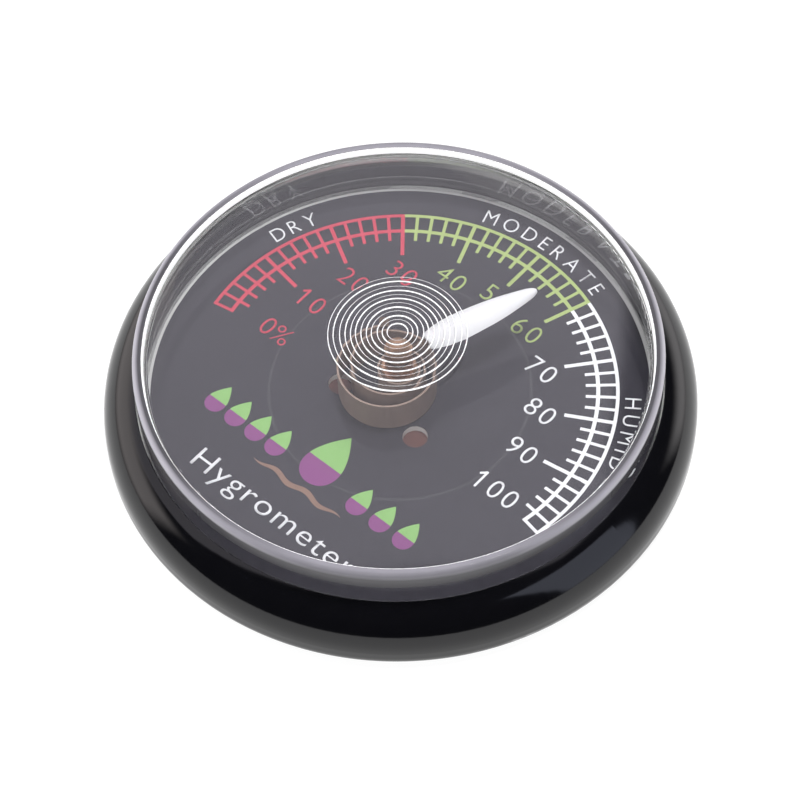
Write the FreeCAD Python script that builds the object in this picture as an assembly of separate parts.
import FreeCAD, Part
import math
import os

V = FreeCAD.Vector

# Dial hygrometer. Millimetres, origin at the centre of the rear face, +Z out of the dial,
# +Y towards the middle of the scale. Angles on the dial run clockwise from +Y as the reader sees it.

# ---- housing
HOUSING_R = 37.5
HOUSING_FOOT_FILLET = 2.0
SHOULDER_START_Z = 3.06
SHOULDER_R = 5.5
SHOULDER_TOP_R = 33.3
BORE_R = 33.2
LIP_Z = 8.4
FLOOR_BOTTOM_Z = 1.1
FLOOR_TOP_Z = 2.5
LEDGE_R = 29.6
RECESS_R = 29.0
SNAP_GROOVE_R = 33.45
SNAP_GROOVE_Z = (5.4, 6.6)
CORE_GROOVE_R = (31.8, 34.4)
CORE_GROOVE_DEPTH = 2.2
FLOOR_VENT_COUNT = 6
FLOOR_VENT_W = 3.0
FLOOR_VENT_R = (8.0, 19.0)

# ---- rear plate and its screws
REAR_PLATE_R = 28.8
REAR_SLOT_RINGS = (8.5, 12.5, 16.5)
REAR_SLOT_W = 1.3
REAR_SLOT_SPAN = 42.0
REAR_SLOT_COUNT = 6
SCREW_COUNT = 3
SCREW_PITCH_R = 23.5
SCREW_HEAD_R = 2.1
SCREW_SHANK_R = 0.95
SCREW_TOP_Z = 3.2
SCREW_BOSS_R = 2.6
SCREW_BOSS_TOP_Z = 3.4

# ---- dial
DIAL_Z = 4.6
DIAL_T = 1.0
DIAL_R = 33.0
DIAL_HOLE_R = 1.6
DIAL_HOLE_POS = ((6.2, -4.2), (-6.2, -4.2))
FILTER_R = 11.0
FILTER_T = 0.5

# ---- clear cover
COVER_R = 33.05
COVER_WALL_INNER_R = 31.75
COVER_TOP_INNER_R = 31.6
RIM_Z = 13.7
RIM_EDGE = 0.7
RIM_INNER_R = 31.9
DOME_R = 31.72
DOME_DROP = 0.95
DOME_APEX_Z = 17.2
COVER_T = 1.1
SNAP_BEAD = 0.25
RIDGE_H = 0.22
RIDGE_FLANK = 0.14
RIDGES = ((1.22, 1.95), (2.44, 3.29), (3.78, 4.57), (5.12, 5.85), (6.40, 7.20), (7.87, 8.66))

# ---- movement
ARBOR_R = 0.5
ARBOR_BOTTOM_Z = 1.8
ARBOR_TOP_Z = 13.0
BEARING_R = 1.5
BEARING_BOTTOM_Z = 1.35
BEARING_TOP_Z = 3.0
RUNNING_BORE_R = 0.54
BUSH_FLANGE_R = 1.9
BUSH_R = 1.2
WASHER_R = 1.6
HUB_BOTTOM_Z = 5.3
HUB_R = 2.3
HUB_NECK_R = 1.75
HUB_NECK_Z = 9.7
HUB_TOP_Z = 11.8
HUB_SPIGOT_R = 1.1
HUB_SPIGOT_TOP_Z = 12.8
CAP_SIDE_TOP_Z = 13.3
CAP_TOP_Z = 14.3

# ---- sensing strip
STRIP_T = 0.25
STRIP_BOTTOM_Z = 4.85
STRIP_TOP_Z = 9.45
STRIP_INNER_R = 2.55
STRIP_WRAP_DEG = 270.0
STRIP_RAMP_DEG = 700.0
STRIP_RAMP_R = 5.95
STRIP_END_DEG = 1000.0
STRIP_END_R = 6.2
STRIP_CENTRE = (-1.2, -0.9)
STRIP_END_ANGLE = -43.0

# ---- pointer
POINTER_Z = 11.6
POINTER_T = 1.1
ARM_Z = (11.82, 12.12)
ARM_W = 0.8
ARM_END_R = 6.2
SCALE_SWEEP = 202.0
READING = 59.6
POINTER_ANGLE = (READING - 50.0) * SCALE_SWEEP / 100.0


def line(a, b):
    return Part.makeLine(V(a[0], 0, a[1]), V(b[0], 0, b[1]))


def arc(a, m, b):
    return Part.Arc(V(a[0], 0, a[1]), V(m[0], 0, m[1]), V(b[0], 0, b[1])).toShape()


def lathe(edges):
    face = Part.Face(Part.Wire(edges))
    return face.revolve(V(0, 0, 0), V(0, 0, 1), 360)


def polyline(points):
    return [line(a, b) for a, b in zip(points, points[1:])]


def lathe_points(points):
    return lathe(polyline(list(points) + [points[0]]))


def disc(radius, z0, z1, x=0.0, y=0.0):
    return Part.makeCylinder(radius, z1 - z0, V(x, y, z0))


def ring(r_in, r_out, z0, z1):
    return disc(r_out, z0, z1).cut(disc(r_in, z0 - 1.0, z1 + 1.0))


def box(x0, x1, y0, y1, z0, z1):
    return Part.makeBox(x1 - x0, y1 - y0, z1 - z0, V(x0, y0, z0))


def turned(shape, clockwise_deg):
    copy = shape.copy()
    copy.rotate(V(0, 0, 0), V(0, 0, 1), -clockwise_deg)
    return copy


def on_dial(radius, clockwise_deg):
    angle = math.radians(clockwise_deg)
    return radius * math.sin(angle), radius * math.cos(angle)


def save(shape, node):
    solid = shape.removeSplitter() if hasattr(shape, "removeSplitter") else shape
    if not solid.isValid():
        solid = shape
    solid.exportStep("parts/" + node + ".step")
    print(node, "valid", solid.isValid(), "solids", len(solid.Solids), "volume", round(solid.Volume, 2))


def base_housing():
    # Round-shouldered ring with a thin floor, the seat for the dial and the snap groove for the cover.
    f = HOUSING_FOOT_FILLET
    k = math.sqrt(0.5)
    centre_r = HOUSING_R - SHOULDER_R
    top = (SHOULDER_TOP_R, SHOULDER_START_Z + math.sqrt(SHOULDER_R ** 2 - (SHOULDER_TOP_R - centre_r) ** 2))
    foot_mid = (HOUSING_R - f + f * k, f - f * k)
    shoulder_mid = (centre_r + SHOULDER_R * k, SHOULDER_START_Z + SHOULDER_R * k)
    dial_bottom = DIAL_Z - DIAL_T
    edges = polyline([
        (0, FLOOR_TOP_Z), (0, FLOOR_BOTTOM_Z), (RECESS_R, FLOOR_BOTTOM_Z), (RECESS_R, 0),
        (CORE_GROOVE_R[0], 0), (CORE_GROOVE_R[0], CORE_GROOVE_DEPTH),
        (CORE_GROOVE_R[1], CORE_GROOVE_DEPTH), (CORE_GROOVE_R[1], 0), (HOUSING_R - f, 0)])
    edges.append(arc((HOUSING_R - f, 0), foot_mid, (HOUSING_R, f)))
    edges.append(line((HOUSING_R, f), (HOUSING_R, SHOULDER_START_Z)))
    edges.append(arc((HOUSING_R, SHOULDER_START_Z), shoulder_mid, top))
    edges += polyline([
        top, (BORE_R, LIP_Z), (BORE_R, SNAP_GROOVE_Z[1]),
        (SNAP_GROOVE_R, SNAP_GROOVE_Z[1]), (SNAP_GROOVE_R, SNAP_GROOVE_Z[0]),
        (BORE_R, SNAP_GROOVE_Z[0]), (BORE_R, dial_bottom), (LEDGE_R, dial_bottom),
        (LEDGE_R, FLOOR_TOP_Z), (0, FLOOR_TOP_Z)])
    body = lathe(edges)
    body = body.fuse(disc(2 * BEARING_R, FLOOR_TOP_Z - 0.2, BEARING_TOP_Z))
    for n in range(SCREW_COUNT):
        x, y = on_dial(SCREW_PITCH_R, 60.0 + 360.0 * n / SCREW_COUNT)
        body = body.fuse(disc(SCREW_BOSS_R, FLOOR_TOP_Z - 0.2, SCREW_BOSS_TOP_Z, x, y))
    for n in range(SCREW_COUNT):
        x, y = on_dial(SCREW_PITCH_R, 60.0 + 360.0 * n / SCREW_COUNT)
        body = body.cut(disc(SCREW_SHANK_R + 0.03, 0.5, SCREW_BOSS_TOP_Z + 1.0, x, y))
    body = body.cut(disc(BEARING_R + 0.02, BEARING_BOTTOM_Z, BEARING_TOP_Z + 1.0))
    for n in range(FLOOR_VENT_COUNT):
        body = body.cut(turned(floor_vent(), 360.0 * n / FLOOR_VENT_COUNT))
    return body


def floor_vent():
    # Round-ended slot through the floor, pointing away from the axis.
    half = FLOOR_VENT_W / 2.0
    slot = box(-half, half, FLOOR_VENT_R[0], FLOOR_VENT_R[1], 0.6, FLOOR_TOP_Z + 0.5)
    slot = slot.fuse(disc(half, 0.6, FLOOR_TOP_Z + 0.5, 0, FLOOR_VENT_R[0]))
    return slot.fuse(disc(half, 0.6, FLOOR_TOP_Z + 0.5, 0, FLOOR_VENT_R[1]))


def arc_slot(radius, width, span):
    # Round-ended slot along an arc, centred on +Y.
    half = width / 2.0
    sector = Part.makeCylinder(radius + half, 3.0, V(0, 0, -1), V(0, 0, 1), span)
    sector = sector.cut(disc(radius - half, -2.0, 3.0))
    sector.rotate(V(0, 0, 0), V(0, 0, 1), 90.0 - span / 2.0)
    for side in (-1, 1):
        x, y = on_dial(radius, side * span / 2.0)
        sector = sector.fuse(disc(half, -1.0, 2.0, x, y))
    return sector


def rear_plate():
    # Flat closing plate in the rear recess, with rings of air slots and three countersunk holes.
    plate = disc(REAR_PLATE_R, 0, FLOOR_BOTTOM_Z)
    plate = plate.makeChamfer(0.25, [e for e in plate.Edges if e.BoundBox.ZMax < 0.01 and e.Length > 50])
    for row, radius in enumerate(REAR_SLOT_RINGS):
        for n in range(REAR_SLOT_COUNT):
            step = 360.0 / REAR_SLOT_COUNT
            plate = plate.cut(turned(arc_slot(radius, REAR_SLOT_W, REAR_SLOT_SPAN), n * step + row * step / 2.0))
    for n in range(SCREW_COUNT):
        x, y = on_dial(SCREW_PITCH_R, 60.0 + 360.0 * n / SCREW_COUNT)
        sink = Part.makeCone(SCREW_HEAD_R + 0.08, SCREW_SHANK_R + 0.08, 1.0, V(x, y, 0))
        plate = plate.cut(sink)
        plate = plate.cut(disc(SCREW_SHANK_R + 0.08, 0.5, 2.0, x, y))
    return plate


def rear_screw(x, y):
    # Countersunk screw with a cross recess; the thread is left plain.
    head = Part.makeCone(SCREW_HEAD_R, SCREW_SHANK_R, 1.0, V(x, y, 0.02))
    shank = disc(SCREW_SHANK_R, 0.9, SCREW_TOP_Z, x, y)
    tip = Part.makeCone(SCREW_SHANK_R, 0.55, 0.15, V(x, y, SCREW_TOP_Z))
    screw = head.fuse(shank).fuse(tip)
    cross = box(x - 1.15, x + 1.15, y - 0.22, y + 0.22, -0.5, 0.62)
    cross = cross.fuse(box(x - 0.22, x + 0.22, y - 1.15, y + 1.15, -0.5, 0.62))
    return screw.cut(cross)


def rear_screws():
    screws = []
    for n in range(SCREW_COUNT):
        x, y = on_dial(SCREW_PITCH_R, 60.0 + 360.0 * n / SCREW_COUNT)
        screws.append(rear_screw(x, y))
    return Part.makeCompound(screws)


def dial_plate():
    # Printed face plate with the bush hole, two air holes and the hole for the strip's stud.
    plate = disc(DIAL_R, DIAL_Z - DIAL_T, DIAL_Z)
    plate = plate.cut(disc(BUSH_R + 0.02, 0, 10))
    for x, y in DIAL_HOLE_POS:
        plate = plate.cut(disc(DIAL_HOLE_R, 0, 10, x, y))
    return plate.cut(anchor_stud(0.03, 0.0, 10.0))


def filter_disc():
    # Porous disc glued behind the face plate, seen through the two air holes.
    top = DIAL_Z - DIAL_T
    pad = ring(BUSH_R + 0.5, FILTER_R, top - FILTER_T, top)
    return pad.cut(anchor_stud(0.25, 0.0, 10.0))


def dial_bush():
    z0 = DIAL_Z - DIAL_T - 0.4
    barrel = disc(BUSH_R, z0, DIAL_Z + 0.1)
    flange = disc(BUSH_FLANGE_R, DIAL_Z, DIAL_Z + 0.3)
    flange = flange.makeChamfer(0.12, [e for e in flange.Edges if e.BoundBox.ZMin > DIAL_Z + 0.29])
    return barrel.fuse(flange).cut(disc(RUNNING_BORE_R, 0, 10))


def rear_bearing():
    cup = disc(BEARING_R, BEARING_BOTTOM_Z, BEARING_TOP_Z)
    cup = cup.makeChamfer(0.15, [e for e in cup.Edges if e.Length > 1 and len(e.Vertexes) == 1])
    return cup.cut(disc(RUNNING_BORE_R, ARBOR_BOTTOM_Z - 0.05, 10))


def arbor():
    pin = disc(ARBOR_R, ARBOR_BOTTOM_Z, ARBOR_TOP_Z)
    return pin.makeChamfer(0.12, [e for e in pin.Edges if len(e.Vertexes) == 1])


def thrust_washer():
    return ring(ARBOR_R + 0.01, WASHER_R, HUB_BOTTOM_Z - 0.2, HUB_BOTTOM_Z)


def hub():
    # Collet that carries the inner end of the strip, with a narrower neck and a spigot for the arm.
    return lathe_points([
        (ARBOR_R + 0.01, HUB_BOTTOM_Z), (HUB_R - 0.15, HUB_BOTTOM_Z), (HUB_R, HUB_BOTTOM_Z + 0.15),
        (HUB_R, HUB_NECK_Z - 0.2), (HUB_R - 0.2, HUB_NECK_Z), (HUB_NECK_R, HUB_NECK_Z),
        (HUB_NECK_R, HUB_TOP_Z - 0.08), (HUB_NECK_R - 0.08, HUB_TOP_Z), (HUB_SPIGOT_R, HUB_TOP_Z),
        (HUB_SPIGOT_R, HUB_SPIGOT_TOP_Z), (ARBOR_R + 0.01, HUB_SPIGOT_TOP_Z)])


def pointer_arm():
    # Thin blade with an eye on the spigot; the leaf is pushed onto its free end.
    eye = disc(HUB_NECK_R, ARM_Z[0], ARM_Z[1])
    blade = box(-ARM_W / 2.0, ARM_W / 2.0, 0, ARM_END_R, ARM_Z[0], ARM_Z[1])
    arm = eye.fuse(blade).cut(disc(HUB_SPIGOT_R + 0.01, 0, 20))
    return turned(arm, POINTER_ANGLE)


def pointer_cap():
    # Round-topped cap that holds the arm down on the spigot.
    z0 = ARM_Z[1] + 0.02
    r = HUB_NECK_R
    rise = CAP_TOP_Z - CAP_SIDE_TOP_Z
    sphere = (r * r + rise * rise) / (2.0 * rise)
    mid_r = r * 0.55
    mid = (mid_r, CAP_TOP_Z - sphere + math.sqrt(sphere * sphere - mid_r * mid_r))
    bore = HUB_SPIGOT_R + 0.01
    roof = ARBOR_TOP_Z + 0.05
    edges = polyline([(0, CAP_TOP_Z), (0, roof), (bore, roof), (bore, z0), (r, z0), (r, CAP_SIDE_TOP_Z)])
    edges.append(arc((r, CAP_SIDE_TOP_Z), mid, (0, CAP_TOP_Z)))
    return lathe(edges)


def strip_point(phi):
    # Centre line of the strip: one wrap on the hub, an open ramp, then the eccentric outer turn.
    if phi <= STRIP_WRAP_DEG:
        radius = STRIP_INNER_R
        shift = 0.0
    elif phi <= STRIP_RAMP_DEG:
        part = (phi - STRIP_WRAP_DEG) / (STRIP_RAMP_DEG - STRIP_WRAP_DEG)
        radius = STRIP_INNER_R + part * (STRIP_RAMP_R - STRIP_INNER_R)
        shift = part * part * (3.0 - 2.0 * part)
    else:
        part = (phi - STRIP_RAMP_DEG) / (STRIP_END_DEG - STRIP_RAMP_DEG)
        radius = STRIP_RAMP_R + part * (STRIP_END_R - STRIP_RAMP_R)
        shift = 1.0
    x, y = on_dial(radius, STRIP_END_ANGLE - (STRIP_END_DEG - phi))
    return x + shift * STRIP_CENTRE[0], y + shift * STRIP_CENTRE[1]


def offset_points(side):
    points = []
    step = 10.0
    count = int(round(STRIP_END_DEG / step))
    for n in range(count + 1):
        phi = n * step
        a = strip_point(max(phi - 1.0, 0.0))
        b = strip_point(min(phi + 1.0, STRIP_END_DEG))
        x, y = strip_point(phi)
        dx = b[0] - a[0]
        dy = b[1] - a[1]
        length = math.hypot(dx, dy)
        half = side * STRIP_T / 2.0
        points.append(V(x - dy / length * half, y + dx / length * half, STRIP_BOTTOM_Z))
    return points


def sensing_coil():
    left = offset_points(1)
    right = offset_points(-1)
    left_curve = Part.BSplineCurve()
    left_curve.interpolate(left)
    right_curve = Part.BSplineCurve()
    right_curve.interpolate(right)
    edges = [left_curve.toShape(), Part.makeLine(left[-1], right[-1]), right_curve.toShape(),
             Part.makeLine(right[0], left[0])]
    face = Part.Face(Part.Wire(Part.__sortEdges__(edges)))
    return face.extrude(V(0, 0, STRIP_TOP_Z - STRIP_BOTTOM_Z))


def at_anchor(shape):
    copy = turned(shape, STRIP_END_ANGLE)
    copy.translate(V(STRIP_CENTRE[0], STRIP_CENTRE[1], 0))
    return copy


def anchor_stud(grow, z0, z1):
    # Square stud outside the strip's free end; grown for the hole it passes through.
    face_y = STRIP_END_R + STRIP_T / 2.0 + 0.02
    stud = box(-0.75 - grow, 0.55 + grow, face_y - grow, face_y + 0.7 + grow, z0, z1)
    return at_anchor(stud)


def anchor_post():
    return anchor_stud(0.0, DIAL_Z - DIAL_T - 0.3, STRIP_TOP_Z)


def anchor_clip():
    # Folded spring clip pinching the strip's free end against the stud.
    t = 0.18
    inner = STRIP_END_R - STRIP_T / 2.0 - 0.04
    outer = STRIP_END_R + STRIP_T / 2.0 + 0.02 + 0.7 + 0.02
    top = STRIP_TOP_Z + 0.02
    solid = box(-0.7, 0.5, inner - t, outer + t, STRIP_BOTTOM_Z + 1.2, top + t)
    return at_anchor(solid.cut(box(-2, 2, inner, outer, 0, top)))


def pointer_section(y, width, thick):
    half = width / 2.0
    z0 = POINTER_Z
    low = z0 + 0.25 * thick
    a = V(-half, y, low)
    b = V(half, y, low)
    crown = Part.Arc(a, V(0, y, z0 + thick), b).toShape()
    keel = Part.Arc(b, V(0, y, z0), a).toShape()
    return Part.Wire([crown, keel])


def pointer():
    # Moulded leaf with a crowned section and a round tip, with a socket for the arm in its root.
    sections = ((4.0, 2.3, 0.9), (4.7, 2.95, 1.0), (5.7, 3.5, 1.0), (6.8, 3.85, 1.05), (8.2, 4.05, POINTER_T),
                (9.8, 4.0, POINTER_T), (12.2, 3.75, 1.05), (14.6, 3.25, 1.0), (16.4, 2.65, 0.95),
                (17.8, 2.1, 0.85), (18.8, 1.6, 0.75), (19.45, 1.05, 0.6), (19.8, 0.5, 0.4))
    leaf = Part.makeLoft([pointer_section(*s) for s in sections], True, False)
    half = ARM_W / 2.0 + 0.01
    socket = box(-half, half, 0, ARM_END_R + 0.02, ARM_Z[0] - 0.01, ARM_Z[1] + 0.01)
    return turned(leaf.cut(socket), POINTER_ANGLE)


def dome_z(radius, inner=0.0):
    rise = DOME_APEX_Z - RIM_Z + DOME_DROP
    sphere = (DOME_R * DOME_R + rise * rise) / (2.0 * rise)
    centre = DOME_APEX_Z - sphere
    return centre + math.sqrt((sphere - inner) ** 2 - radius * radius)


def clear_cover():
    # Clear cup: plain wall with a snap bead, raised rim, shallow dome and six moulded target ridges.
    k = math.sqrt(0.5)
    e = RIM_EDGE
    points = [(0, dome_z(0))]
    for r0, r1 in RIDGES:
        points.append((r0, dome_z(r0)))
        points.append((r0 + RIDGE_FLANK, dome_z(r0) + RIDGE_H))
        points.append((r1 - RIDGE_FLANK, dome_z(r1) + RIDGE_H))
        points.append((r1, dome_z(r1)))
    edges = polyline(points)
    last = RIDGES[-1][1]
    middle = (last + DOME_R) / 2.0
    dome_edge = (DOME_R, dome_z(DOME_R))
    edges.append(arc((last, dome_z(last)), (middle, dome_z(middle)), dome_edge))
    edges += polyline([dome_edge, (RIM_INNER_R, RIM_Z), (COVER_R - e, RIM_Z)])
    edges.append(arc((COVER_R - e, RIM_Z), (COVER_R - e + e * k, RIM_Z - e + e * k), (COVER_R, RIM_Z - e)))
    foot = DIAL_Z
    inner_edge = (31.1, dome_z(31.1, COVER_T))
    corner_low = (COVER_TOP_INNER_R, inner_edge[1] - 0.5)
    corner_mid = (COVER_TOP_INNER_R - 0.14, inner_edge[1] - 0.12)
    edges += polyline([
        (COVER_R, RIM_Z - e), (COVER_R, SNAP_GROOVE_Z[1] - 0.2), (COVER_R + SNAP_BEAD, SNAP_GROOVE_Z[1] - 0.4),
        (COVER_R + SNAP_BEAD, SNAP_GROOVE_Z[0] + 0.4), (COVER_R, SNAP_GROOVE_Z[0] + 0.2), (COVER_R, foot + 0.2),
        (COVER_R - 0.2, foot), (COVER_WALL_INNER_R, foot), corner_low])
    edges.append(arc(corner_low, corner_mid, inner_edge))
    half_way = dome_z(15.0, COVER_T)
    edges.append(arc(inner_edge, (15.0, half_way), (0, dome_z(0, COVER_T))))
    edges.append(line((0, dome_z(0, COVER_T)), (0, dome_z(0))))
    return lathe(edges)


os.makedirs("parts", exist_ok=True)
save(base_housing(), "base_housing")
save(rear_plate(), "rear_plate")
save(rear_screws(), "rear_screws")
save(dial_plate(), "dial_plate")
save(filter_disc(), "filter_disc")
save(dial_bush(), "dial_bush")
save(rear_bearing(), "rear_bearing")
save(anchor_post(), "anchor_post")
save(anchor_clip(), "anchor_clip")
save(sensing_coil(), "sensing_coil")
save(clear_cover(), "clear_cover")
save(arbor(), "arbor")
save(thrust_washer(), "thrust_washer")
save(hub(), "hub")
save(pointer(), "pointer")
save(pointer_arm(), "pointer_arm")
save(pointer_cap(), "pointer_cap")
